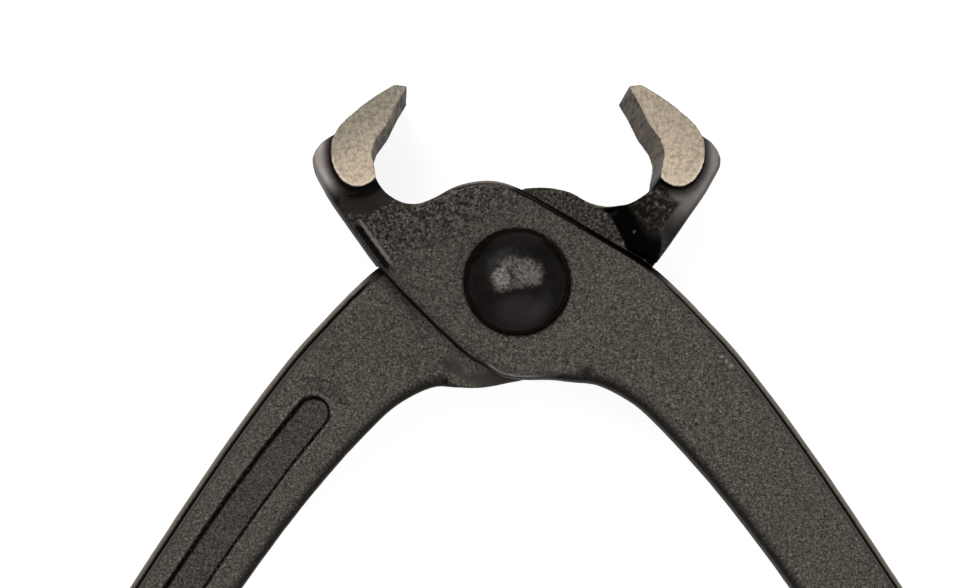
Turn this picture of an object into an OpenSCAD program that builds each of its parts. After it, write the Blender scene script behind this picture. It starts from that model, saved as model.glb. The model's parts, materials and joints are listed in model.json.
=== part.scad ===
// End cutting nippers, fully open, lying flat on the side faces of their jaws.
// Two levers are the same forging, one of them turned over, and a rivet joins them.
// Each lever is drawn with its jaws closed, its pivot at the origin and its lap face at height zero.

/* [Overall] */
// Distance from the pivot to the ends of the handles
handle_l = 221; // [180:1:260]
// Distance from the pivot to the cutting edges
jaw_h = 27.7; // [26:0.1:31]
// Distance from the middle plane to the backs of the closed jaws
jaw_back = 15.4; // [14:0.1:18]
// Width of the jaws, along the cutting edges
jaw_w = 24; // [19:0.5:30]
// Angle that each lever turns from closed to fully open
open_a = 29.4; // [20:0.1:32]

/* [Cheeks] */
// Radius of the cheeks round the pivot
cheek_r = 12.8; // [12:0.1:14]
// Thickness of one cheek
cheek_t = 6.5; // [5:0.1:8]
// Gap that the lap leaves round the other lever's cheek
lap_gap = 0.3; // [0.2:0.05:0.6]
// How much fuller the rear lever's inner edge is below the pivot
heel = 0.9; // [0:0.1:1.2]
// How much fuller the front lever's outer edge is above the pivot
crest = 0.9; // [0:0.1:1.2]

/* [Handles] */
// Furthest distance from the middle plane to the middle of a closed handle
handle_bow = 19.6; // [17:0.1:22]
// Width of a handle
handle_w = 11.8; // [9:0.1:13]
// Thickness of a handle
handle_t = 9; // [7:0.1:11]
// How far the forging seam stands out of a handle's outer edge
seam_w = 1.1; // [0.5:0.05:1.5]
// Thickness of the forging seam
seam_t = 2.6; // [1.5:0.1:3.5]
// Radius of the soft inner edge
roll_r = 1.8; // [0.8:0.1:2.5]
// Radius of the sharp outer edge
edge_r = 0.6; // [0.3:0.05:1]

/* [Panel] */
// Width of the sunk panel on one side of each handle
panel_w = 4.3; // [3:0.1:6]
// Depth of the sunk panel
panel_depth = 0.6; // [0.3:0.05:1.2]
// Distance from the pivot to the near end of the panel
panel_start = 24.6; // [23:0.1:40]
// Length of the panel
panel_l = 84; // [40:1:110]

/* [Jaws] */
// How far the forged back of a jaw falls away towards its spine
back_fall = 2; // [1:0.1:3]

/* [Rivet] */
// Diameter of the rivet's shank
rivet_d = 8; // [6:0.1:10]
// Diameter of the rivet's heads
rivet_head_d = 13; // [11:0.1:15]
// Height of the rivet's front head
rivet_head_h = 3.2; // [2:0.1:4]
// Height of the rivet's peened back head
rivet_peen_h = 2.4; // [1.5:0.1:3.5]
// Radial gap between the rivet and the rear lever
running_gap = 0.05; // [0.02:0.01:0.09]

/* [Hidden] */

$fn = 96;
overrun = 1;
handle_step = 7;
head_step = 1.3;
bound_step = 0.6;
end_turns = 6;
end_a = 78;
arc_step_a = 15;
// Ring of flat seat left round each of the rivet's heads
spot_margin = 0.3;
// How far the wall of the seat leans back for each unit of its depth
seat_draft_share = 0.5;
steel_black = [0.28, 0.26, 0.24];
rivet_black = [0.1, 0.09, 0.08];

// Handle stations: distance along, distance out, width
handle_shares = [
    [0.882, 0.893, 0.907],
    [0.724, 0.966, 0.923],
    [0.566, 1.011, 0.941],
    [0.430, 1.002, 0.958],
    [0.317, 0.950, 0.974],
    [0.235, 0.890, 1.002],
    [0.186, 0.838, 1.043],
    [0.149, 0.784, 1.094]
];
// The handle's rounded end: distance out, width, and how fast its faces round over
end_out_share = 0.840;
end_w_share = 0.885;
end_round_share = 1.2;

// The seam's corners: how far in from its edge in seam widths, how high in half seam thicknesses
seam_shares = [[0, 0.55], [0.22, 0.95], [0.7, 1.05]];
// How far in the wall above the seam stands, how its corner is cut, and where the face's flat ends
wall_share = 1.15;
corner_share = 0.3;
flat_share = 0.62;
// The most that the seam, the corner and the soft edge take of a low or narrow section
seam_cap_share = 0.4;
corner_cap_share = 0.3;
roll_cap_shares = [0.4, 0.7];
// The straight rim of a rivet head and the flat on top of its dome
rim_share = 0.15;
dome_flat_share = 0.36;

// Cheek stations: outer edge x and y, inner edge x and y, rise of the face, rise of the lap side, seam, fall
cheek_shares = [
    [ 1.633, -2.000,  0.564, -2.000, 0.10, -0.05, 1.0, 0],
    [ 1.567, -1.602,  0.434, -1.602, 0.30, -0.70, 1.0, 0],
    [ 1.475, -1.211,  0.188, -1.242, 0.56, -1.50, 1.0, 0],
    [ 1.402, -0.922,  0.031, -1.133, 0.84, -1.92, 1.0, 0],
    [ 1.254, -0.480, -0.180, -0.984, 1.02, -2.08, 0.8, 0],
    [ 1.037, -0.091, -0.422, -0.844, 1.03, -2.08, 0.6, 0],
    [ 0.936,  0.085, -0.562, -0.742, 1.03, -1.70, 0.6, 0],
    [ 0.756,  0.397, -0.688, -0.516, 1.03,  0.00, 0.6, 0],
    [ 0.492,  0.771, -0.762, -0.398, 1.03,  1.00, 0.6, 0],
    [ 0.258,  0.969, -0.887, -0.031, 1.03,  1.00, 0.6, 0],
    [ 0.008,  1.063, -0.969,  0.258, 1.03,  1.00, 0.6, 0],
    [-0.262,  1.078, -1.055,  0.586, 1.03,  1.00, 0.4, 0]
];

// How far each cheek station's inner edge follows the heel, and its outer edge the crest
heel_shares = [0, 0, 0.2, 0.6, 1, 0.25, 0, 0, 0, 0, 0, 0];
crest_shares = [0, 0, 0, 0, 0, 0, 0, 0, 0.5, 0.9, 1, 1];

// Jaw stations, in the same columns
jaw_shares = [
    [-0.390,  0.533, -0.922,  0.415, 1.03, 1.25, 0.0, 0.2],
    [-0.494,  0.573, -0.945,  0.534, 1.08, 1.45, 0.0, 0.5],
    [-0.573,  0.648, -0.964,  0.643, 1.25, 1.58, 0.0, 0.8],
    [-0.586,  0.718, -0.982,  0.744, 1.55, 1.62, 0.0, 1.0],
    [-0.565,  0.787, -0.986,  0.830, 1.62, 1.62, 0.0, 1.0],
    [-0.578,  0.866, -0.952,  0.946, 1.62, 1.62, 0.0, 1.0],
    [-0.600,  0.905, -0.822,  0.984, 1.62, 1.62, 0.0, 0.6],
    [-0.600,  0.920, -0.680,  0.984, 1.62, 1.62, 0.0, 0.3]
];

// Ground side face of a jaw: the ground tip, the round end of the face, and the throat back to the edge
tip_shares = [
    [ 0,      1],
    [-0.097,  1.036],
    [-0.253,  1.034],
    [-0.406,  1.025],
    [-0.532,  1.011]
];
bound_shares = [
    [-0.649,  0.993],
    [-0.760,  0.953],
    [-0.831,  0.885],
    [-0.851,  0.823],
    [-0.831,  0.762],
    [-0.773,  0.720],
    [-0.679,  0.704],
    [-0.595,  0.715],
    [-0.568,  0.745],
    [-0.539,  0.794],
    [-0.513,  0.823]
];
throat_shares = [
    [-0.442,  0.859],
    [-0.299,  0.895],
    [-0.149,  0.953]
];

function join(lists) = [for (l = lists) for (x = l) x];
function turn(p, a) = [p[0] * cos(a) - p[1] * sin(a), p[0] * sin(a) + p[1] * cos(a)];
function outer_of(row) = [row[0], row[1]];
function inner_of(row) = [row[2], row[3]];

// Height of a face above the lap plane: 0 is the handle's, 1 the cheek's and 2 the jaw's
function level(rise) = rise < 1
    ? handle_t / 2 + rise * (cheek_t - handle_t / 2)
    : cheek_t + (rise - 1) * (jaw_w / 2 - cheek_t);

// A smooth curve through rows of numbers, its speed at each row taken from the spaces on both sides
function speed(rows, s, i) = i == 0 ? (rows[1] - rows[0]) / s[0]
    : i == len(rows) - 1 ? (rows[i] - rows[i - 1]) / s[i - 1]
    : ((rows[i] - rows[i - 1]) / s[i - 1] * s[i] + (rows[i + 1] - rows[i]) / s[i] * s[i - 1])
        / (s[i - 1] + s[i]);
function hermite(a, b, da, db, t) = a * (1 + 2 * t) * pow(1 - t, 2) + da * t * pow(1 - t, 2)
    + b * (3 - 2 * t) * pow(t, 2) - db * (1 - t) * pow(t, 2);
function curve(rows, s, steps) = join([
    for (i = [0 : len(rows) - 2])
        let (
            turns = max(1, ceil(s[i] / steps[i])),
            da = speed(rows, s, i) * s[i],
            db = speed(rows, s, i + 1) * s[i]
        )
        [for (k = [0 : turns - 1]) hermite(rows[i], rows[i + 1], da, db, k / turns)],
    [rows[len(rows) - 1]]
]);

// Stations of the forging, from the handle's end to the jaw
end_r = handle_w * end_w_share / 2;
function end_row(a) = [
    handle_bow * end_out_share + end_r * cos(a), end_r - handle_l - end_r * sin(a),
    handle_bow * end_out_share - end_r * cos(a), end_r - handle_l - end_r * sin(a),
    -end_round_share * (1 - cos(a)), -end_round_share * (1 - cos(a)), cos(a), 0
];
function handle_row(s) = [
    s[1] * handle_bow + s[2] * handle_w / 2, -s[0] * handle_l,
    s[1] * handle_bow - s[2] * handle_w / 2, -s[0] * handle_l,
    0, 0, 1, 0
];
function fuller(p, by) = p * (1 + by / norm(p));
function scaled_row(s, x, y, outer_by = 0, inner_by = 0) = concat(
    fuller([s[0] * x, s[1] * y], outer_by), fuller([s[2] * x, s[3] * y], inner_by), [s[4], s[5], s[6], s[7]]
);
end_rows = [for (k = [end_turns : -1 : 1]) end_row(k * end_a / end_turns)];
handle_rows = [for (s = handle_shares) handle_row(s)];
// How much fuller each lever is: its crest and its heel
plain = [0, 0];
front_fullness = [crest, 0];
rear_fullness = [0, heel];
function cheek_rows(fullness) = [
    for (i = [0 : len(cheek_shares) - 1])
        scaled_row(
            cheek_shares[i], cheek_r, cheek_r, fullness[0] * crest_shares[i], fullness[1] * heel_shares[i]
        )
];
jaw_rows = [for (s = jaw_shares) scaled_row(s, jaw_back, jaw_h)];
function lever_rows(fullness) =
    let (
        keys = concat([end_row(0)], handle_rows, cheek_rows(fullness), jaw_rows),
        spaces = [
            for (i = [1 : len(keys) - 1])
                (norm(outer_of(keys[i]) - outer_of(keys[i - 1]))
                    + norm(inner_of(keys[i]) - inner_of(keys[i - 1]))) / 2
        ],
        steps = [for (i = [0 : len(spaces) - 1]) i <= len(handle_rows) ? handle_step : head_step]
    )
    concat(end_rows, curve(keys, spaces, steps));

// Upper half of a cross-section, from its outer edge with the seam to its soft inner edge
function half_section(w, h, seam, fall) =
    let (
        s = seam * seam_w,
        t = min(seam_t / 2, h * seam_cap_share),
        e = min(edge_r, h * corner_cap_share),
        f = fall * back_fall,
        r = min(roll_r, w * roll_cap_shares[0], (h - f) * roll_cap_shares[1]),
        wall = w - s * wall_share
    )
    concat([for (c = seam_shares) [w - s * c[0], t * c[1]]], [
        [wall, h - e],
        [wall - e * corner_share, h - e * corner_share],
        [wall - e, h],
        [r + (wall - e - r) * flat_share, h]
    ], [for (a = [0 : 2 * arc_step_a : 90]) [r * (1 - sin(a)), h - f - r * (1 - cos(a))]]);
function ring(row) =
    let (
        w = norm(outer_of(row) - inner_of(row)),
        out = (outer_of(row) - inner_of(row)) / w,
        face = half_section(w, level(row[4]), row[6], row[7]),
        lap = half_section(w, level(row[5]), row[6], row[7]),
        last = len(lap) - 1
    )
    concat(
        [for (p = face) concat(inner_of(row) + out * p[0], p[1])],
        [for (k = [last : -1 : 0]) concat(inner_of(row) + out * lap[k][0], -lap[k][1])]
    );
function sum(points, i = 0) = i == len(points) - 1 ? points[i] : points[i] + sum(points, i + 1);
function mean(points) = sum(points) / len(points);

// A closed solid through rings of points
module loft(rings) {
    n = len(rings[0]);
    last = len(rings) - 1;
    points = concat(join(rings), [mean(rings[0]), mean(rings[last])]);
    sides = [
        for (i = [0 : last - 1]) for (k = [0 : n - 1])
            let (a = i * n + k, b = i * n + (k + 1) % n) each [[a, b + n, a + n], [a, b, b + n]]
    ];
    caps = [
        for (k = [0 : n - 1])
            each [[len(points) - 2, (k + 1) % n, k],
                [len(points) - 1, last * n + k, last * n + (k + 1) % n]]
    ];
    polyhedron(points, concat(sides, caps), convexity = 8);
}

// The ground side faces of a jaw, and the cutting edge between them
tip = [for (s = tip_shares) [s[0] * jaw_back, s[1] * jaw_h]];
bound_keys = [for (s = bound_shares) [s[0] * jaw_back, s[1] * jaw_h]];
bound_spaces = [for (i = [1 : len(bound_keys) - 1]) norm(bound_keys[i] - bound_keys[i - 1])];
bound = curve(bound_keys, bound_spaces, [for (s = bound_spaces) bound_step]);
throat = [for (s = throat_shares) [s[0] * jaw_back, s[1] * jaw_h]];
module ground_jaw() {
    linear_extrude(jaw_w, center = true) polygon(concat(tip, bound, throat));
}

// Where the other lever's edges come when the jaws are fully open
function other_open(p) = turn([-p[0], p[1]], -2 * open_a);
reach = jaw_h;
plain_rows = cheek_rows(plain);
root_line = [for (i = [3 : 8]) other_open(outer_of(plain_rows[i])) + [0, lap_gap]];
shoulder_line = [
    for (row = [plain_rows[9], plain_rows[10], plain_rows[11], jaw_rows[0], jaw_rows[1]])
        other_open(inner_of(row)) - [0, lap_gap]
];
function crotch(rows) = [for (row = [rows[3], rows[4]]) [-row[2], row[3]] + [lap_gap / 2, -lap_gap]];
module below_lap() {
    translate([0, 0, -jaw_w]) linear_extrude(jaw_w) children();
}
// A round seat whose wall leans back below the lap
module seat(r) {
    translate([0, 0, -jaw_w]) cylinder(h = jaw_w, r1 = r + jaw_w * seat_draft_share, r2 = r);
}
module lap_relief(other) {
    seat(cheek_r + other[1] + lap_gap);
    intersection() {
        seat(norm(outer_of(plain_rows[10])) + other[0] + lap_gap);
        below_lap() translate([-2 * reach, 0]) square([4 * reach, 2 * reach]);
    }
    below_lap() polygon(concat(root_line, [[0, -reach], [-reach, -reach], [-reach, root_line[0][1]]]));
    below_lap() polygon(concat([[0, shoulder_line[0][1]]], shoulder_line, [[reach, reach], [0, reach]]));
    below_lap() polygon(concat([[0, 0]], crotch(cheek_rows(other))));
}

// The sunk panel follows the middle of the handle
mid_table = [
    for (row = lever_rows(plain)) if (row[1] < -cheek_r) [(row[1] + row[3]) / 2, (row[0] + row[2]) / 2]
];
panel_r = panel_w / 2;
panel_ys = [for (y = [panel_start + panel_r : handle_step : panel_start + panel_l - panel_r]) -y];
function panel_x(y) = lookup(y, mid_table);
module panel_cut() {
    last = panel_ys[len(panel_ys) - 1];
    outline = concat(
        [for (a = [0 : arc_step_a : 180]) [panel_x(panel_ys[0]) + panel_r * cos(a), panel_ys[0] + panel_r * sin(a)]],
        [for (y = panel_ys) [panel_x(y) - panel_r, y]],
        [for (a = [180 : arc_step_a : 360]) [panel_x(last) + panel_r * cos(a), last + panel_r * sin(a)]],
        [for (k = [len(panel_ys) - 1 : -1 : 0]) [panel_x(panel_ys[k]) + panel_r, panel_ys[k]]]
    );
    translate([0, 0, -handle_t / 2 - overrun]) linear_extrude(panel_depth + overrun) polygon(outline);
}

// Flat seat for a rivet head on the cheek's outer face
module spot_face() {
    translate([0, 0, cheek_t]) cylinder(d = rivet_head_d + 2 * spot_margin, h = jaw_w);
}

// One lever, jaws closed, its outer face up and its lap face at height zero
module lever(bore_r, fullness, other) {
    difference() {
        union() {
            loft([for (row = lever_rows(fullness)) ring(row)]);
            ground_jaw();
        }
        lap_relief(other);
        spot_face();
        panel_cut();
        cylinder(r = bore_r, h = 2 * jaw_w, center = true);
    }
}

// The open tool stands on its jaws' side faces, with the middle of its box over the origin
open_ys = concat(
    [for (row = lever_rows(plain)) for (p = [outer_of(row), inner_of(row)]) turn(p, open_a)[1]],
    [for (p = concat(tip, bound)) turn(p, open_a)[1]]
);
pivot = [0, -(min(open_ys) + max(open_ys)) / 2, jaw_w / 2];

module front_lever() {
    color(steel_black) translate(pivot) rotate([0, 0, open_a]) lever(rivet_d / 2, front_fullness, rear_fullness);
}

module rear_lever() {
    color(steel_black) translate(pivot) rotate([0, 0, -open_a]) rotate([0, 180, 0])
        lever(rivet_d / 2 + running_gap, rear_fullness, front_fullness);
}

// A domed head with a straight rim, from its rim to its top
function head_profile(h) = [
    for (a = [0 : arc_step_a / 2 : 90]) [
        rivet_head_d / 2 * (dome_flat_share + (1 - dome_flat_share) * cos(a)),
        h * (rim_share + (1 - rim_share) * sin(a))
    ]
];
module pivot_rivet() {
    head_r = rivet_head_d / 2;
    front = [for (p = head_profile(rivet_head_h)) p + [0, cheek_t]];
    back = [for (p = head_profile(rivet_peen_h)) [p[0], -p[1] - cheek_t]];
    outline = concat(
        [[0, cheek_t + rivet_head_h], [0, -cheek_t - rivet_peen_h]],
        [for (k = [len(back) - 1 : -1 : 0]) back[k]],
        [[head_r, -cheek_t], [rivet_d / 2, -cheek_t], [rivet_d / 2, cheek_t], [head_r, cheek_t]],
        front
    );
    color(rivet_black) translate(pivot) rotate_extrude() polygon(outline);
}

front_lever();
rear_lever();
pivot_rivet();
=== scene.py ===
"""End cutting nippers, drop forged with a black finish, fully open on a plain white floor.

The CAD levers and rivet give every form. Here each lever is meshed afresh so that its edges soften as a
forging's do, and gets its black grain and its ground steel, and the rivet gets its hammer marks. What a
lever's material has to know of a place is worked out once per vertex and kept in the mesh's attributes.
"""
import json
import math

import bpy
import numpy as np
from mathutils import Matrix, Quaternion, Vector, noise
from mathutils.kdtree import KDTree


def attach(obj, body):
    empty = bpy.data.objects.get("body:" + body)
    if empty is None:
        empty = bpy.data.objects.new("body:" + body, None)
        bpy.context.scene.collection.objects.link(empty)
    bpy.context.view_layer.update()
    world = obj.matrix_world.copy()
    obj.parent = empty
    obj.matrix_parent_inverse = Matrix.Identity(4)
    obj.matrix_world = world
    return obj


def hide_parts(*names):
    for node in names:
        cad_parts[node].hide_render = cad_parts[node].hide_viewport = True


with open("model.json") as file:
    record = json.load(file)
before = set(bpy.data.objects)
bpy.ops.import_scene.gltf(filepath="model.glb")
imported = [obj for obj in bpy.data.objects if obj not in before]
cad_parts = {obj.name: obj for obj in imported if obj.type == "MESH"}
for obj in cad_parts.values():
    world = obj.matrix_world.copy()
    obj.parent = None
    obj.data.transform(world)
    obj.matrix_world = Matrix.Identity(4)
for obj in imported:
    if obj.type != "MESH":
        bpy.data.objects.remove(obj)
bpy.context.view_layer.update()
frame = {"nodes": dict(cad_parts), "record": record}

MM = 0.001
pivot = np.array(frame["record"]["behaviour"]["joints"][0]["pos_m"]) / MM

# What part.scad gives the tool, in mm and degrees
OPEN_A = 29.4
JAW_W = 24.0
JAW_H = 27.7
CHEEK_T = 6.5
CHEEK_R = 12.8
RIVET_D = 8.0
HANDLE_T = 9.0
PANEL_DEPTH = 0.6
PANEL_W = 4.3
HEAD_D = 13.0
HEAD_H = 3.2
PEEN_H = 2.4

# The photograph's camera, in mm from the pivot's axis and, upwards, from the front cheek's face
PICTURE_W = 980
PIXELS_PER_MM = 7.999
CAMERA_AT = (-15.98, -27.98, 531.07)
AIMED_AT = (-3.40, -1.48, 0.0)
ROLL = -0.11
FACE_Z = 18.5
SENSOR_MM = 36

# Forged surface, in mm
VOXEL = 0.24
SOFT_TURNS = 4
SOFT_SHIFTS = (0.55, -0.5)
DENT_MM = 0.03
DENT_SIZE = 3.2
GROOVE_MM = 0.18
FAR = 99.0

# The recess: which CAD faces wall it, how closely they are sampled, and how fast the painted shade line
# fades beside the shaded wall and beside the lit one
PANEL_FLOOR = PANEL_DEPTH - HANDLE_T / 2
PANEL_TOP = -1.5 * CHEEK_R
PANEL_STEP = 0.08
PANEL_FADE_SHADED = 0.8
PANEL_FADE_LIT = 1.3

# Zones in a lever's own drawing, in mm: each fades in from the first value to the second
GROUND_DEPTH = (0.22, 0.06)
LAP_DEPTH = (0.35, 0.1)
LAP_RIM = (1.2 * CHEEK_R, CHEEK_R)
SPOT_FACE = (HEAD_D / 2 + 0.8, HEAD_D / 2 + 0.4)
RIVET_RING = (HEAD_D / 2 + 0.45, HEAD_D / 2 + 0.25)
HANDLE = (-0.5 * CHEEK_R, -0.8 * CHEEK_R)
CHEEK = (-11, -8)
CREST = (10.2, 11.2)
CREST_END = (14.6, 13.8)
FIRM_JAW = (0.6 * JAW_H, 0.75 * JAW_H)
HONED = (0.7 * JAW_H, 0.74 * JAW_H)
HONED_LOW = (0.86 * JAW_H, 0.76 * JAW_H)
BACK = (0.42 * JAW_H, 0.56 * JAW_H)
FOOT = (0.45 * JAW_H, 0.55 * JAW_H)
ROOT = (0.1 * JAW_H, 0.3 * JAW_H)
COARSE = (0.25 * JAW_H, 0.5 * JAW_H)
TIP = (0.75 * JAW_H, JAW_H)

# Painted shade: how much darker than the face each zone is painted, as a share, and the painted light on the
# flange and the painted highlight on its very edge
PAINTED_SHADE = {
    "edge": 0.5,
    "side_wall": 0.93,
    "inner_edge": 0.75,
    "hollow": 0.45,
    "under_ground": 0.88,
    "silhouette": 0.4,
    "recess": 0.26,
    "root": 0.95,
    "beside_lap": 0.42,
    "back_low": 0.93,
    "rivet_ring": 0.92,
    "ledge": 0.94,
}
FLANGE_PAINTED_LIGHT = 1.5
FLANGE_EDGE_HIGHLIGHT = 2.3

# What differs between the two levers, in mm:
# back_width      heights, and how far the jaw's smooth back reaches in at each
# back_light      where the painted sheen on the back turns light, going up it, and back_tone how light; below it the back is painted darker
# inner_edge_end  the radii between which the painted shade line on the handle's inner edge ends
# beside_lap      1 where that edge runs into the shade beside the other lever's cheek
# tip             how grey the ground steel is painted at the tip, as shade on its bevel
# chips           where the black is chipped, from the pivot: x, y and half sizes, above chips_above
FRONT_LOOK = {
    "back_width": ((18.5, 19.4, 20.2, 21.0, 21.9), (-0.4, 0.2, 1.0, 1.8, 9.0)),
    "back_light": (19.5, 23.0),
    "back_tone": 1.0,
    "inner_edge_end": (12.9, 12.3),
    "beside_lap": 0,
    "tip": 1.0,
    "chips": ((25.7, -9.3, 0.3, 0.25), (26.3, -9.9, 0.2, 0.3), (26.9, -10.4, 0.25, 0.25)),
    "chips_above": 3,
}
REAR_LOOK = {
    "back_width": ((12.0, 20.5, 21.5), (1.5, 1.8, 9.0)),
    "back_light": (13, 22),
    "back_tone": 0.65,
    "inner_edge_end": (15, 13.5),
    "beside_lap": 1,
    "tip": 0.5,
    "chips": (
        (13.5, 5.2, 0.2, 0.34), (13.8, 4.4, 0.2, 0.2), (14.9, 6.5, 0.22, 0.16), (16.3, 3.1, 0.26, 0.18),
    ),
    "chips_above": -5,
}
CHIP_TONE = 0.75

# Colours, as linear red, green and blue
BLACK_DARK = (0.013, 0.011, 0.0092)
BLACK_WARM = (0.203, 0.172, 0.147)
BLACK_GREEN = (0.190, 0.172, 0.147)
FLECK_DARK = (0.020, 0.0165, 0.013)
FLECK_LIGHT = (0.18, 0.162, 0.137)
# VIOLET_DARK and VIOLET_LIGHT: the painted sheen on the jaw's smooth back; the light one also tints the honed
# strip's lower part
VIOLET_DARK = (0.080, 0.0735, 0.073)
VIOLET_LIGHT = (0.56, 0.505, 0.465)
STEEL_WARM = (0.31, 0.25, 0.185)
STEEL_PALE = (0.59, 0.465, 0.355)
STEEL_GREEN = (0.535, 0.455, 0.345)
# The ground steel at the tip, painted greyer as shade on its bevel
STEEL_GREY = (0.132, 0.130, 0.106)
# The painted highlight along the rim of the ground faces
RIM_HIGHLIGHT_STEEL = (0.82, 0.71, 0.59)
# The painted highlights on the cheek's edges, and the steel bared at chips
HIGHLIGHT_AND_CHIP_STEEL = (0.34, 0.32, 0.29)
HONED_DARK = (0.018, 0.014, 0.010)
HONED_LIGHT = (0.76, 0.60, 0.44)
RIVET_DARK = (0.0025, 0.0018, 0.0014)
RIVET_BLACK = (0.0065, 0.0048, 0.0038)
# A painted reflection on the rivet's head
RIVET_SHEEN = (0.019, 0.0155, 0.0145)
STRUCK_DARK = (0.045, 0.04, 0.036)
STRUCK_LIGHT = (0.29, 0.272, 0.25)

# Rivet: points round it, rings of its two heads, the heads' forms as shares of radius and height, and the
# hammer's blows on the front head: x, y, half width and half height in mm, and weight
TURNS = 160
HEAD_RINGS = 26
PEEN_RINGS = 20
TOP_RINGS = 14
TOP_SHARE = 0.36
RIM_SHARE = 0.15
BLOWS = (
    (-1.95, 0.5, 1.1, 1.7, 1.0),
    (1.3, 1.0, 1.7, 1.4, 0.75),
    (-0.2, 1.9, 2.2, 1.1, 0.55),
    (0.4, -0.2, 1.5, 0.8, 0.4),
)

# Stage, in metres and watts: the floor's half width, how far it lies below the tool, its grey and its glow, the
# world's light on the tool, where the lamps aim, and each soft lamp's name, place, size and power
FLOOR_HALF = 3.0
FLOOR_DROP = 0.0005
FLOOR_GREY = 0.34
FLOOR_GLOW = 0.87
WORLD_LIGHT = 0.4
LAMPS_AIM = (0, 0.05, 0)
LAMPS = (
    ("key", (-0.25, 0.45, 0.85), (0.5, 0.5), 4.0),
    ("fill", (0.5, -0.35, 0.8), (0.6, 0.6), 2.0),
)


# ---------------------------------------------------------------- numbers and meshes
def smoothstep(low, high, x):
    t = np.clip((x - low) / (high - low), 0, 1)
    return t * t * (3 - 2 * t)


def between(x, start, full, still, end):
    """1 where x is between full and still, fading to 0 at start and at end."""
    return smoothstep(start, full, x) * smoothstep(end, still, x)


def corners(mesh):
    out = np.empty(len(mesh.vertices) * 3)
    mesh.vertices.foreach_get("co", out)
    return out.reshape(-1, 3)


def set_corners(mesh, points):
    mesh.vertices.foreach_set("co", np.ascontiguousarray(points, float).ravel())
    mesh.update()


def mesh_normals(mesh):
    out = np.empty(len(mesh.vertices) * 3)
    mesh.vertices.foreach_get("normal", out)
    return out.reshape(-1, 3)


def new_object(name, mesh):
    obj = bpy.data.objects.new(name, mesh)
    bpy.context.collection.objects.link(obj)
    return obj


def applied(obj):
    """The object's mesh with its modifiers made real."""
    graph = bpy.context.evaluated_depsgraph_get()
    mesh = bpy.data.meshes.new_from_object(obj.evaluated_get(graph))
    obj.modifiers.clear()
    obj.data = mesh
    return mesh


def attribute(mesh, name, values):
    layer = mesh.attributes.new(name, "FLOAT", "POINT")
    layer.data.foreach_set("value", np.ascontiguousarray(values, np.float32))


def across(vectors, side):
    """Row-frame directions in the lever's own drawing."""
    a = -side * math.radians(OPEN_A)
    x = vectors[:, 0] * math.cos(a) - vectors[:, 1] * math.sin(a)
    y = vectors[:, 0] * math.sin(a) + vectors[:, 1] * math.cos(a)
    return np.column_stack([side * x, y, side * vectors[:, 2]])


def local_mm(points, side):
    """Row-frame metres to a lever's own drawing: jaws closed, pivot at zero, outer face up, in mm."""
    return across(points / MM - pivot, side)


def drawn(points, edges, shift):
    """Points moved by a share of the way to the mean of their neighbours."""
    count = len(points)
    ends = np.concatenate([edges[:, 0], edges[:, 1]])
    others = np.concatenate([edges[:, 1], edges[:, 0]])
    total = np.column_stack([np.bincount(ends, weights=points[others, k], minlength=count) for k in range(3)])
    return points + (total / np.bincount(ends, minlength=count)[:, None] - points) * shift


def lumps(points, size, seed):
    """A smooth random height for each point, about -1 to 1, with lumps of that size in mm."""
    scale = 1 / (size * MM)
    offset = Vector((seed * 7.3, seed * 3.1, seed * 5.7))
    return np.array([noise.noise(Vector(p) * scale + offset) for p in points])


def plan_tree(spots):
    """The spots, seen from above, ready to be searched."""
    tree = KDTree(len(spots))
    for i, spot in enumerate(spots):
        tree.insert((spot[0], spot[1], 0), i)
    tree.balance()
    return tree


def plan_distance(at, targets, wanted):
    """Distance in plan, in mm, of the wanted points from the nearest target, and FAR elsewhere."""
    tree = plan_tree(at[targets])
    out = np.full(len(at), FAR)
    for i in np.flatnonzero(wanted):
        out[i] = tree.find((at[i, 0], at[i, 1], 0))[2]
    return out


# ---------------------------------------------------------------- levers
def recess_distance(at, node, side):
    """Distance in plan from the walls of the handle's recess, above 0 on its floor, told by its height."""
    mesh = frame["nodes"][node].data
    drawing = local_mm(corners(mesh), side)
    spots, fades = [], []
    for face in mesh.polygons:
        ring = drawing[list(face.vertices)]
        upright = abs(face.normal[2]) < 0.1
        if upright and ring[:, 2].max() < PANEL_FLOOR + 0.05 and ring[:, 1].max() < PANEL_TOP:
            shaded = across(np.array([face.normal[:]]), side)[0, 0] < 0
            for one, two in zip(ring, np.roll(ring, -1, axis=0)):
                steps = 1 + int(np.hypot(*(two - one)[:2]) / PANEL_STEP)
                spots += [one + (two - one) * k / steps for k in range(steps)]
                fades += [PANEL_FADE_SHADED if shaded else PANEL_FADE_LIT] * steps
    out = np.full(len(at), -1.0)
    if not spots:
        return out
    tree = plan_tree(spots)
    lowest = min(spot[1] for spot in spots) - 2
    near = (at[:, 2] < PANEL_FLOOR + 0.6) & (at[:, 1] < PANEL_TOP) & (at[:, 1] > lowest)
    for i in np.flatnonzero(near):
        index, away = tree.find((at[i, 0], at[i, 1], 0))[1:]
        sunk = at[i, 2] > PANEL_FLOOR - 0.16 and away < 0.55 * PANEL_W
        out[i] = away * fades[index] * (1 if sunk else -1)
    return np.clip(out, -1, 1)


def chip_marks(where, chips, above):
    """How chipped each point is, for points in mm from the pivot."""
    out = np.zeros(len(where))
    for x, y, wide, high in chips:
        away = np.hypot((where[:, 0] - x) / wide, (where[:, 1] - y) / high)
        out = np.maximum(out, CHIP_TONE * smoothstep(1.1, 0.4, away) * (where[:, 2] > above))
    return out


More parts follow.
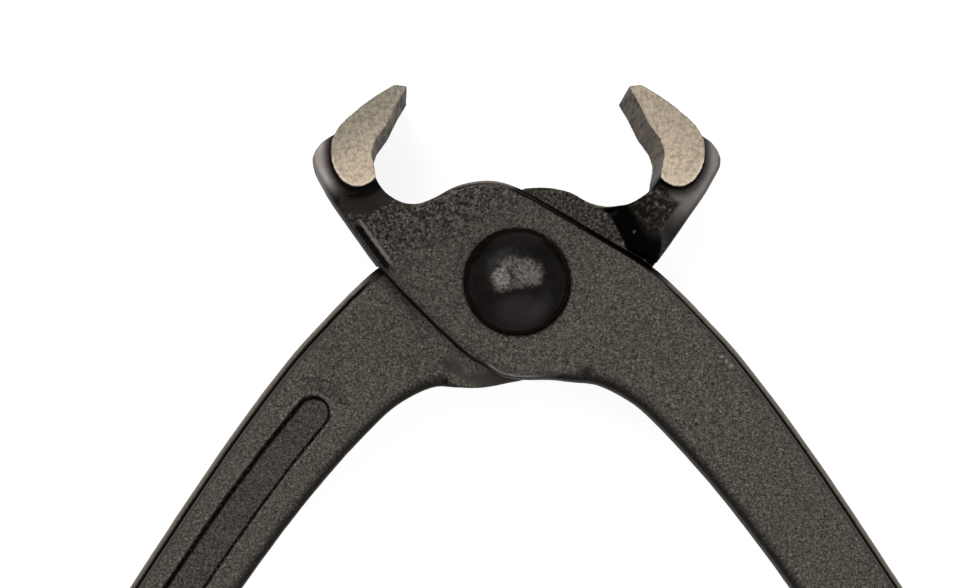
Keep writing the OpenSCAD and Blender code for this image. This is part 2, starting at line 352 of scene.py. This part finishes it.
def soft_lever(node, side):
    """A lever's CAD solid meshed evenly, with softened edges, less so at the jaw."""
    obj = new_object(node + "_forged", frame["nodes"][node].data.copy())
    remesh = obj.modifiers.new("remesh", "REMESH")
    remesh.mode = "VOXEL"
    remesh.voxel_size = VOXEL * MM
    mesh = applied(obj)
    points = corners(mesh)
    edges = np.empty(len(mesh.edges) * 2, np.int64)
    mesh.edges.foreach_get("vertices", edges)
    edges = edges.reshape(-1, 2)
    jaw = smoothstep(*FIRM_JAW, local_mm(points, side)[:, 1])[:, None]
    for shift in SOFT_SHIFTS * SOFT_TURNS:
        points = points + (drawn(points, edges, shift) - points) * (1 - 0.75 * jaw)
    set_corners(mesh, points)
    return obj, mesh, points


def forged_lever(node, side, seed, look):
    """A lever with its forged surface and its finish."""
    obj, mesh, points = soft_lever(node, side)
    normals = mesh_normals(mesh)
    at = local_mm(points, side)
    x, y, z = at.T
    r = np.hypot(x, y)
    nx, ny, nz = across(normals, side).T

    # Shallow dents, but none on the ground faces, in the lap or under the rivet's head
    ground = smoothstep(*GROUND_DEPTH, JAW_W / 2 - np.abs(z))
    lap = smoothstep(*LAP_DEPTH, np.abs(z)) * smoothstep(*LAP_RIM, r)
    free = (1 - ground) * (1 - lap) * (1 - smoothstep(*SPOT_FACE, r))
    dent = lumps(points, DENT_SIZE, seed) * DENT_MM + lumps(points, DENT_SIZE / 3, seed + 1) * DENT_MM * 0.4
    points = points - normals * (np.maximum(dent + DENT_MM, 0) * free * MM)[:, None]

    # The flange along the outer edge, with a groove along its step on the handle
    handle = smoothstep(*HANDLE, y)
    crest = smoothstep(*CREST, y)
    outer = (nx > 0.75) | ((nx > 0.1) & (ny > 0.6) & (y > 9) & (z > 0))
    outer &= (np.abs(z) < 1.1) & (y < 0.53 * JAW_H)
    rim = plan_distance(at, outer, (y < 0.55 * JAW_H) & (nx > -0.5))
    seam = smoothstep(1.0, 0.85, rim) * (1 - lap)
    flange = seam * np.maximum(handle, crest)
    groove = between(rim, 0.25, 0.45, 0.65, 0.85) * handle * (1 - lap)
    set_corners(mesh, points - normals * (GROOVE_MM * groove * MM)[:, None])

    # The handle's inner edge, the shaded place where it meets the lap, and the recess in its face
    inner = (np.minimum(nx, ny) < -0.6) & (nx < 0.3) & (np.abs(z) < 1.5) & (y < -9)
    inside = plan_distance(at, inner, (y < -8) & (nx < 0.5))
    beside_lap = smoothstep(2.2, 1.2, inside) * smoothstep(14.2, 13.2, r) * look["beside_lap"]
    inside += 9 * smoothstep(*look["inner_edge_end"], r)
    panel = recess_distance(at, node, side)

    # The jaw: the honed strip inside, the smooth back, the hollow between them and the root below it; the hollow,
    # the root and the line under the ground faces are painted in shade
    honed = smoothstep(*HONED, y) * smoothstep(0.2, 0.5, nx) * (1 - ground)
    below = plan_distance(at, ground > 0.5, y > 0.4 * JAW_H)
    spine = plan_distance(at, (nx < -0.8) & (y > 0), y > 0.1 * JAW_H)
    width = np.interp(y, *look["back_width"])
    back = smoothstep(width + 0.3, width - 0.3, spine) * smoothstep(*BACK, y) * (1 - ground) * (1 - honed)
    hollow = smoothstep(*FOOT, y) * (1 - back) * (1 - honed) * (1 - ground)
    towards = -(nx * x + ny * y) / np.maximum(r, 0.1)
    root = smoothstep(0.1, 0.3, towards) * smoothstep(0.97, 0.85, np.abs(nz)) * smoothstep(*ROOT, y)
    root *= (z < -0.1) * (1 - honed) * (1 - ground)
    fleck = (z < 0) * np.maximum(root, hollow) * smoothstep(4.0, 5.6, -z) * smoothstep(1.2, 2.0, below)
    fleck *= (1 - back) * smoothstep(*FOOT, y)
    root *= 1 - fleck
    smooth_hollow = hollow * smoothstep(3.3, 3.0, below) * (z > 0)
    under = 0.9 * hollow * smoothstep(1.5, 1.0, below) + back * smoothstep(0.62, 0.2, below)
    back_light = smoothstep(*look["back_light"], y)
    not_steel = (ground < 0.5) & (honed < 0.5) & (np.abs(z) > 6) & (y > 0.4 * JAW_H)
    # A painted highlight along the ground face's rim, where it meets the black
    rim_highlight = smoothstep(0.45, 0.1, plan_distance(at, not_steel, ground > 0.5)) * smoothstep(25.5, 23.5, y) * ground

    # Tone of the black, 1 being the plain face: painted light and shade, darker towards the jaw and lighter on
    # the lap's lower part, then darkened zone by zone with painted shade
    cheek = smoothstep(*CHEEK, y)
    flat = smoothstep(0.4 - 0.2 * cheek, 0.8 - 0.35 * cheek, np.abs(nz))
    side_wall = (1 - flat) * smoothstep(-0.2, -0.5, nx) * smoothstep(-10, -6, y)
    # A band painted in shade just outside the cheek's edge near the jaw
    ledge = between(spine, 0.02, 0.12, 0.85, 1.0) * between(y, 8.5, 10, 15.5, 17) * (z > 0)
    shade = 1.2 - 0.16 * smoothstep(-9, 3, y) - 0.3 * smoothstep(5, 14, y)
    shade *= 1 + 0.3 * lap * smoothstep(2, -4, y)
    shade *= 1 - PAINTED_SHADE["edge"] * (1 - flat) * (1 - back) * (1 - flange)
    shade *= 1 - PAINTED_SHADE["side_wall"] * side_wall * (1 - back)
    shade *= 1 - PAINTED_SHADE["inner_edge"] * smoothstep(1.6, 0.2, inside) * (1 - flange)
    # The flange is painted light, and lightest at its very edge as a painted highlight
    shade += (FLANGE_PAINTED_LIGHT + FLANGE_EDGE_HIGHLIGHT * smoothstep(0.4, 0.0, rim) - shade) * flange
    shade *= 1 - PAINTED_SHADE["hollow"] * smooth_hollow
    shade *= 1 - PAINTED_SHADE["under_ground"] * np.clip(under, 0, 1)
    shade += (1 - shade) * back * (1 - under)
    shade *= 1 - PAINTED_SHADE["silhouette"] * back * smoothstep(0.4, 0.05, spine)
    shade *= 1 - PAINTED_SHADE["recess"] * smoothstep(0.1, 0.4, panel)
    shade *= 1 - PAINTED_SHADE["root"] * root
    shade *= 1 - PAINTED_SHADE["beside_lap"] * beside_lap
    shade *= 1 - PAINTED_SHADE["back_low"] * back * (1 - back_light)
    shade *= 1 - PAINTED_SHADE["rivet_ring"] * (z > 0.1) * smoothstep(*RIVET_RING, r)
    shade *= 1 - PAINTED_SHADE["ledge"] * ledge

    # Where the grain shows, the painted highlights along the cheek's edges, and the chips in the black
    fine = flat * (1 - back) * (1 - root) * (1 - 0.85 * smooth_hollow) * (1 - 0.9 * beside_lap) * (1 - 0.8 * seam)
    edge_highlight_low = between(y, -12.4, -10.6, -7.5, -6.5) * between(nz, 0.35, 0.45, 0.55, 0.7)
    edge_highlight_high = between(y, 9, 11, 16.2, 16.8) * between(spine, 0.85, 0.98, 1.15, 1.3)
    edge_highlight = (edge_highlight_low * smoothstep(0.1, 0.25, -nx) + 0.55 * edge_highlight_high) * (z > 0)
    chipped = chip_marks(points / MM - pivot, look["chips"], look["chips_above"])

    for name, values in {
        "ground": ground,
        "honed": honed,
        "honed_low": smoothstep(*HONED_LOW, y),
        "shade": np.clip(shade, 0.02, 4),
        "rim": np.clip(rim, 0, 3),
        "step": np.maximum(handle, crest * smoothstep(*CREST_END, y)) * (1 - lap),
        "cheek_edge": (1 - np.maximum(handle, crest)) * (1 - lap),
        "panel": panel,
        "rim_highlight": rim_highlight,
        "fine": np.clip(fine, 0, 1),
        # The painted sheen on the jaw's smooth back, and how light it is
        "back_sheen": np.clip(back * smoothstep(0.3, 0.7, below) * (1 - root), 0, 1),
        "lit": np.clip(back * smoothstep(0.5, 1.6, below) * back_light * look["back_tone"], 0, 1),
        "highlight_and_chips": np.maximum(edge_highlight, chipped),
        "fleck": np.clip(fleck, 0, 1),
        "coarse": smoothstep(*COARSE, y),
        "tip": smoothstep(*TIP, y) * look["tip"],
    }.items():
        attribute(mesh, name, values)
    mesh.polygons.foreach_set("use_smooth", [True] * len(mesh.polygons))
    mesh.materials.clear()
    mesh.materials.append(forged_black)
    return obj


# ---------------------------------------------------------------- material nodes
def new_material(name):
    material = bpy.data.materials.new(name)
    material.use_nodes = True
    tree = material.node_tree
    return material, tree, tree.nodes["Principled BSDF"]


def node_of(tree, kind, inputs=(), **settings):
    node = tree.nodes.new(kind)
    for key, value in settings.items():
        setattr(node, key, value)
    for key, value in dict(inputs).items():
        if isinstance(value, bpy.types.NodeSocket):
            tree.links.new(value, node.inputs[key])
        else:
            node.inputs[key].default_value = value
    return node


def noise_of(tree, size_mm, detail=2.0, roughness=0.5, stretch=(1, 1, 1)):
    where = node_of(tree, "ShaderNodeTexCoord").outputs["Object"]
    where = node_of(tree, "ShaderNodeMapping", {"Vector": where, "Scale": stretch}).outputs["Vector"]
    return node_of(
        tree, "ShaderNodeTexNoise",
        {"Vector": where, "Scale": 1 / (size_mm * MM), "Detail": detail, "Roughness": roughness},
    ).outputs["Fac"]


def band(tree, value, low, high, to_low=0.0, to_high=1.0):
    """value between low and high, spread over to_low to to_high and held there outside."""
    return node_of(
        tree, "ShaderNodeMapRange",
        {"Value": value, "From Min": low, "From Max": high, "To Min": to_low, "To Max": to_high},
    ).outputs["Result"]


def mixed(tree, share, one, two):
    """Colour one, or two by that share."""
    node = node_of(tree, "ShaderNodeMix", {0: share}, data_type="RGBA")
    for socket, value in ((node.inputs[6], one), (node.inputs[7], two)):
        if isinstance(value, bpy.types.NodeSocket):
            tree.links.new(value, socket)
        else:
            socket.default_value = (*value, 1)
    return node.outputs[2]


def joined(tree, operation, one, two):
    return node_of(tree, "ShaderNodeMath", {0: one, 1: two}, operation=operation).outputs[0]


def stripe(tree, value, start, full, still, end):
    """1 where the value is between full and still, fading to 0 at start and at end."""
    return joined(tree, "MULTIPLY", band(tree, value, start, full), band(tree, value, end, still))


def painted_attribute(tree, name):
    return node_of(tree, "ShaderNodeAttribute", attribute_name=name).outputs["Fac"]


def looked_at(tree):
    """1 for the camera's rays and for those that a glossy or clear surface sends on, and 0 for the rest."""
    path = node_of(tree, "ShaderNodeLightPath")
    reflected = joined(tree, "MAXIMUM", path.outputs["Is Glossy Ray"], path.outputs["Is Transmission Ray"])
    return joined(tree, "MAXIMUM", path.outputs["Is Camera Ray"], reflected)


# ---------------------------------------------------------------- finishes
def black_grain(tree, fine, grain):
    """The forging's black scale, coarser towards the jaw and flecked on the ramp, with light specks painted in as
    glints.
    """
    clots = noise_of(tree, 0.4, 3.0, 0.7)
    # Light specks painted in as glints from the scale's small facets
    speck_and_glint = band(tree, noise_of(tree, 0.3, 1.0, 0.5), 0.64, 0.8, 0, 0.7)
    coarser = band(tree, painted_attribute(tree, "coarse"), 0, 1, 0.8, 2.3)
    rough = joined(tree, "MULTIPLY", band(tree, clots, 0.25, 0.75, -0.36, 0.36), coarser)
    varied = joined(tree, "ADD", band(tree, grain, 0.25, 0.75, -0.34, 0.34), joined(tree, "ADD", speck_and_glint, rough))
    tone = joined(tree, "ADD", joined(tree, "MULTIPLY", varied, fine), 0.54)
    tone = joined(tree, "POWER", band(tree, tone, 0, 1), 2.0)
    hue = band(tree, noise_of(tree, 1.0, 2.0, 0.6), 0.35, 0.65)
    black = mixed(tree, tone, BLACK_DARK, mixed(tree, hue, BLACK_WARM, BLACK_GREEN))
    chips = band(tree, noise_of(tree, 0.5, 3.0, 0.6, (1, 1, 0.1)), 0.5, 0.72)
    return mixed(tree, painted_attribute(tree, "fleck"), black, mixed(tree, chips, FLECK_DARK, FLECK_LIGHT))


def jaw_finish(tree, black):
    """The black with the painted sheen on the jaw's smooth back, and the honed strip inside it."""
    cloud = band(tree, noise_of(tree, 2.2, 2.0, 0.5), 0.3, 0.7, 0.7, 1)
    pale = joined(tree, "MULTIPLY", painted_attribute(tree, "lit"), cloud)
    black = mixed(tree, painted_attribute(tree, "back_sheen"), black, mixed(tree, pale, VIOLET_DARK, VIOLET_LIGHT))
    streaks = noise_of(tree, 1.0, 3.0, 0.75, (1, 1, 0.045))
    honed = mixed(tree, band(tree, streaks, 0.39, 0.57), HONED_DARK, HONED_LIGHT)
    # Towards its lower part the honed strip turns to the light violet grey of the painted sheen
    honed = mixed(tree, joined(tree, "MULTIPLY", painted_attribute(tree, "honed_low"), 0.8), honed, VIOLET_LIGHT)
    return mixed(tree, painted_attribute(tree, "honed"), black, honed)


def shaded_tone(tree):
    """The vertex tone with painted shade in the creases, along the cheek's edge and round the recess, and painted
    highlights on the lips beside them.
    """
    rim = painted_attribute(tree, "rim")
    panel = painted_attribute(tree, "panel")
    step = painted_attribute(tree, "step")
    # Painted shade lines at the step's foot, along the cheek's edge and round the recess walls
    crease = joined(tree, "MULTIPLY", stripe(tree, rim, 0.3, 0.42, 0.7, 0.82), step)
    cheek_line = joined(tree, "MULTIPLY", painted_attribute(tree, "cheek_edge"), band(tree, rim, 1.15, 0.95))
    dark = joined(tree, "MAXIMUM", crease, cheek_line)
    dark = joined(tree, "MAXIMUM", dark, stripe(tree, panel, -0.2, 0.0, 0.3, 0.5))
    # Painted highlights on the lips beside the step and the recess
    lip = joined(tree, "MULTIPLY", stripe(tree, rim, 0.82, 0.94, 1.15, 1.4), step)
    panel_lip = joined(tree, "MULTIPLY", stripe(tree, panel, -0.55, -0.35, -0.25, -0.15), 0.7)
    lips = joined(tree, "MULTIPLY", joined(tree, "MAXIMUM", lip, panel_lip), 0.3)
    light = joined(tree, "ADD", painted_attribute(tree, "shade"), lips)
    return joined(tree, "MULTIPLY", light, band(tree, dark, 0, 1, 1, 0.02))


def ground_steel(tree):
    """The jaws' ground end faces, painted greyer at the tip as shade on its bevel, with a painted highlight along
    the rim.
    """
    scratch = noise_of(tree, 0.45, 4.0, 0.8)
    pale = mixed(tree, band(tree, noise_of(tree, 0.7, 2.0, 0.6), 0.4, 0.6), STEEL_PALE, STEEL_GREEN)
    steel = mixed(tree, band(tree, scratch, 0.36, 0.56), STEEL_WARM, pale)
    # The tip painted greyer, as shade on its bevel
    tip_shaded = joined(tree, "MULTIPLY", painted_attribute(tree, "tip"), band(tree, scratch, 0.3, 0.6, 0.95, 0.55))
    steel = mixed(tree, tip_shaded, steel, STEEL_GREY)
    return mixed(tree, joined(tree, "MULTIPLY", painted_attribute(tree, "rim_highlight"), 0.7), steel, RIM_HIGHLIGHT_STEEL)


def make_forged_black():
    material, tree, shader = new_material("forged_black")
    fine = painted_attribute(tree, "fine")
    ground = painted_attribute(tree, "ground")
    grain = noise_of(tree, 0.22, 2.0, 0.7)
    black = jaw_finish(tree, black_grain(tree, fine, grain))
    toned = node_of(tree, "ShaderNodeVectorMath", {0: black, "Scale": shaded_tone(tree)}, operation="SCALE")
    # Painted highlights on the cheek's edges, and bare steel at the chips
    painted = mixed(tree, painted_attribute(tree, "highlight_and_chips"), toned.outputs["Vector"], HIGHLIGHT_AND_CHIP_STEEL)
    tree.links.new(mixed(tree, ground, painted, ground_steel(tree)), shader.inputs["Base Color"])
    tree.links.new(band(tree, grain, 0.35, 0.65, 0.62, 0.5), shader.inputs["Roughness"])
    shader.inputs["Specular IOR Level"].default_value = 0.02
    tree.links.new(band(tree, ground, 0, 1, 0, 0.35), shader.inputs["Metallic"])
    height = joined(tree, "MULTIPLY", grain, band(tree, joined(tree, "MAXIMUM", fine, ground), 0, 1, 0.15, 1))
    bump = node_of(tree, "ShaderNodeBump", {"Strength": 0.6, "Distance": 0.0001, "Height": height})
    tree.links.new(bump.outputs["Normal"], shader.inputs["Normal"])
    return material


def make_rivet_black():
    material, tree, shader = new_material("rivet_black")
    film = noise_of(tree, 1.1, 3.0, 0.6)
    speck_and_glint = noise_of(tree, 0.4, 3.0, 0.7)
    colour = mixed(tree, band(tree, film, 0.35, 0.65), RIVET_DARK, RIVET_BLACK)
    # The painted reflection on the head
    colour = mixed(tree, painted_attribute(tree, "sheen"), colour, RIVET_SHEEN)
    struck = mixed(tree, band(tree, speck_and_glint, 0.36, 0.66), STRUCK_DARK, STRUCK_LIGHT)
    colour = mixed(tree, painted_attribute(tree, "struck"), colour, struck)
    tree.links.new(colour, shader.inputs["Base Color"])
    tree.links.new(band(tree, speck_and_glint, 0.3, 0.7, 0.22, 0.32), shader.inputs["Roughness"])
    shader.inputs["Specular IOR Level"].default_value = 0.06
    bump = node_of(tree, "ShaderNodeBump", {"Strength": 0.25, "Distance": 0.00008, "Height": speck_and_glint})
    tree.links.new(bump.outputs["Normal"], shader.inputs["Normal"])
    return material


# ---------------------------------------------------------------- rivet
def dome(head_h, rings):
    """Radius and height above the cheek of a head's rings, from its rim to its flat top, in mm."""
    out = []
    for k in range(rings + 1):
        a = math.pi / 2 * k / rings
        radius = HEAD_D / 2 * (TOP_SHARE + (1 - TOP_SHARE) * math.cos(a))
        out.append((radius, head_h * (RIM_SHARE + (1 - RIM_SHARE) * math.sin(a))))
    top = out[-1][0]
    return out + [(top * (1 - k / TOP_RINGS), head_h) for k in range(1, TOP_RINGS)]


def turned(rows):
    """Points and faces of a solid turned from rows of radius and height, bottom to top."""
    points = [(0, 0, rows[0][1])]
    for r, z in rows:
        for k in range(TURNS):
            a = 2 * math.pi * k / TURNS
            points.append((r * math.cos(a), r * math.sin(a), z))
    points.append((0, 0, rows[-1][1]))
    faces = [(0, 1 + (k + 1) % TURNS, 1 + k) for k in range(TURNS)]
    for i in range(len(rows) - 1):
        a, b = 1 + i * TURNS, 1 + (i + 1) * TURNS
        faces += [(a + k, a + (k + 1) % TURNS, b + (k + 1) % TURNS, b + k) for k in range(TURNS)]
    last = 1 + (len(rows) - 1) * TURNS
    faces += [(last + k, last + (k + 1) % TURNS, len(points) - 1) for k in range(TURNS)]
    return np.array(points, float), faces


def hammered_rivet():
    rows = [(r, -CHEEK_T - h) for r, h in reversed(dome(PEEN_H, PEEN_RINGS))]
    rows += [(HEAD_D / 2, -CHEEK_T), (RIVET_D / 2, -CHEEK_T), (RIVET_D / 2, CHEEK_T), (HEAD_D / 2, CHEEK_T)]
    rows += [(r, CHEEK_T + h) for r, h in dome(HEAD_H, HEAD_RINGS)]
    at, faces = turned(rows)
    x, y, z = at.T.copy()
    r = np.hypot(x, y)
    top = z > CHEEK_T + 0.5
    under = z < -CHEEK_T - 0.5

    # Overlapping blows with ragged edges on the head, one round mark on the peened end
    ragged = lumps(at * MM, 1.3, 6) * 0.35 + lumps(at * MM, 0.45, 7) * 0.25
    blows = np.zeros(len(at))
    for blow_x, blow_y, half_w, half_h, weight in BLOWS:
        away = np.hypot((x - blow_x) / half_w, (y - blow_y) / half_h)
        blows = np.maximum(blows, weight * smoothstep(1.35, 0.55, away + ragged))
    blows *= smoothstep(-1.75, -1.35, y)
    struck = np.where(top, blows, smoothstep(4.5, 3.5, r) * under)
    marks = lumps(at * MM, 1.5, 4) * 0.16 + lumps(at * MM, 0.6, 5) * 0.07 - 0.1
    soft = smoothstep(6.3, 4.5, r) * (0.25 + 0.75 * struck)
    at[:, 2] += np.where(top, 1, np.where(under, -1, 0)) * np.minimum(marks, 0) * soft

    mesh = bpy.data.meshes.new("pivot_rivet_hammered")
    mesh.from_pydata([tuple(p * MM) for p in at + pivot], [], faces)
    mesh.update()
    attribute(mesh, "struck", struck)
    # A painted reflection on the head: a soft patch low down and a faint band near the top
    low = smoothstep(1.2, 0.5, np.hypot((x - 0.4) / 3.6, (y + 3.8) / 2.3))
    high = smoothstep(1.0, 0.3, np.hypot((x - 0.2) / 4, (y - 5.0) / 1.0))
    attribute(mesh, "sheen", top * np.maximum(low, 0.25 * high) * (1 - struck))
    obj = new_object("pivot_rivet_hammered", mesh)
    mesh.materials.append(rivet_black)
    mesh.polygons.foreach_set("use_smooth", [True] * len(mesh.polygons))
    mesh.set_sharp_from_angle(angle=math.radians(50))
    return obj


forged_black = make_forged_black()
rivet_black = make_rivet_black()
front = forged_lever("front_lever", 1, 1, FRONT_LOOK)
rear = forged_lever("rear_lever", -1, 9, REAR_LOOK)
rivet = hammered_rivet()
for obj, node, body, slot in (
    (front, "front_lever", "front_half", "black_forging"),
    (rear, "rear_lever", "rear_half", "black_forging"),
    (rivet, "pivot_rivet", "front_half", "black_rivet"),
):
    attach(obj, body)
    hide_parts(node)


# ---------------------------------------------------------------- stage
def white_floor():
    material, tree, shader = new_material("white_floor")
    shader.inputs["Base Color"].default_value = (FLOOR_GREY, FLOOR_GREY, FLOOR_GREY, 1)
    shader.inputs["Roughness"].default_value = 0.9
    shader.inputs["Specular IOR Level"].default_value = 0.0
    strength = joined(tree, "MULTIPLY", looked_at(tree), FLOOR_GLOW)
    glow = node_of(tree, "ShaderNodeEmission", {"Strength": strength})
    both = node_of(tree, "ShaderNodeAddShader", {0: shader.outputs[0], 1: glow.outputs[0]})
    tree.links.new(both.outputs[0], tree.nodes["Material Output"].inputs["Surface"])
    far = FLOOR_HALF
    mesh = bpy.data.meshes.new("floor")
    mesh.from_pydata([(-far, -far, 0), (far, -far, 0), (far, far, 0), (-far, far, 0)], [], [(0, 1, 2, 3)])
    mesh.materials.append(material)
    floor = new_object("floor", mesh)
    floor.location.z = -FLOOR_DROP


def soft_box(name, place, size, power):
    light = bpy.data.lights.new(name, "AREA")
    light.shape = "RECTANGLE"
    light.size, light.size_y = size
    light.energy = power
    lamp = new_object(name, light)
    lamp.location = place
    lamp.rotation_euler = (Vector(LAMPS_AIM) - Vector(place)).to_track_quat("-Z", "Y").to_euler()


def studio_world():
    world = bpy.data.worlds.new("studio")
    world.use_nodes = True
    bpy.context.scene.world = world
    tree = world.node_tree
    background = tree.nodes["Background"]
    background.inputs["Color"].default_value = (1, 1, 1, 1)
    tree.links.new(band(tree, looked_at(tree), 0, 1, WORLD_LIGHT, 1.0), background.inputs["Strength"])


def photo_camera():
    place = Vector((pivot[0] + CAMERA_AT[0], pivot[1] + CAMERA_AT[1], FACE_Z + CAMERA_AT[2])) * MM
    target = Vector((pivot[0] + AIMED_AT[0], pivot[1] + AIMED_AT[1], FACE_Z + AIMED_AT[2])) * MM
    camera = bpy.data.cameras.new("camera")
    camera.sensor_width = SENSOR_MM
    camera.lens = (place - target).length / MM * PIXELS_PER_MM / PICTURE_W * SENSOR_MM
    ahead = (target - place).normalized()
    right = ahead.cross(Vector((0, 1, 0))).normalized()
    right.rotate(Quaternion(ahead, math.radians(-ROLL)))
    viewer = new_object("camera", camera)
    turned_to = Matrix((right, right.cross(ahead), -ahead)).transposed().to_4x4()
    viewer.matrix_world = Matrix.Translation(place) @ turned_to
    bpy.context.scene.camera = viewer


white_floor()
for lamp in LAMPS:
    soft_box(*lamp)
studio_world()
bpy.context.scene.view_settings.view_transform = "Standard"
photo_camera()
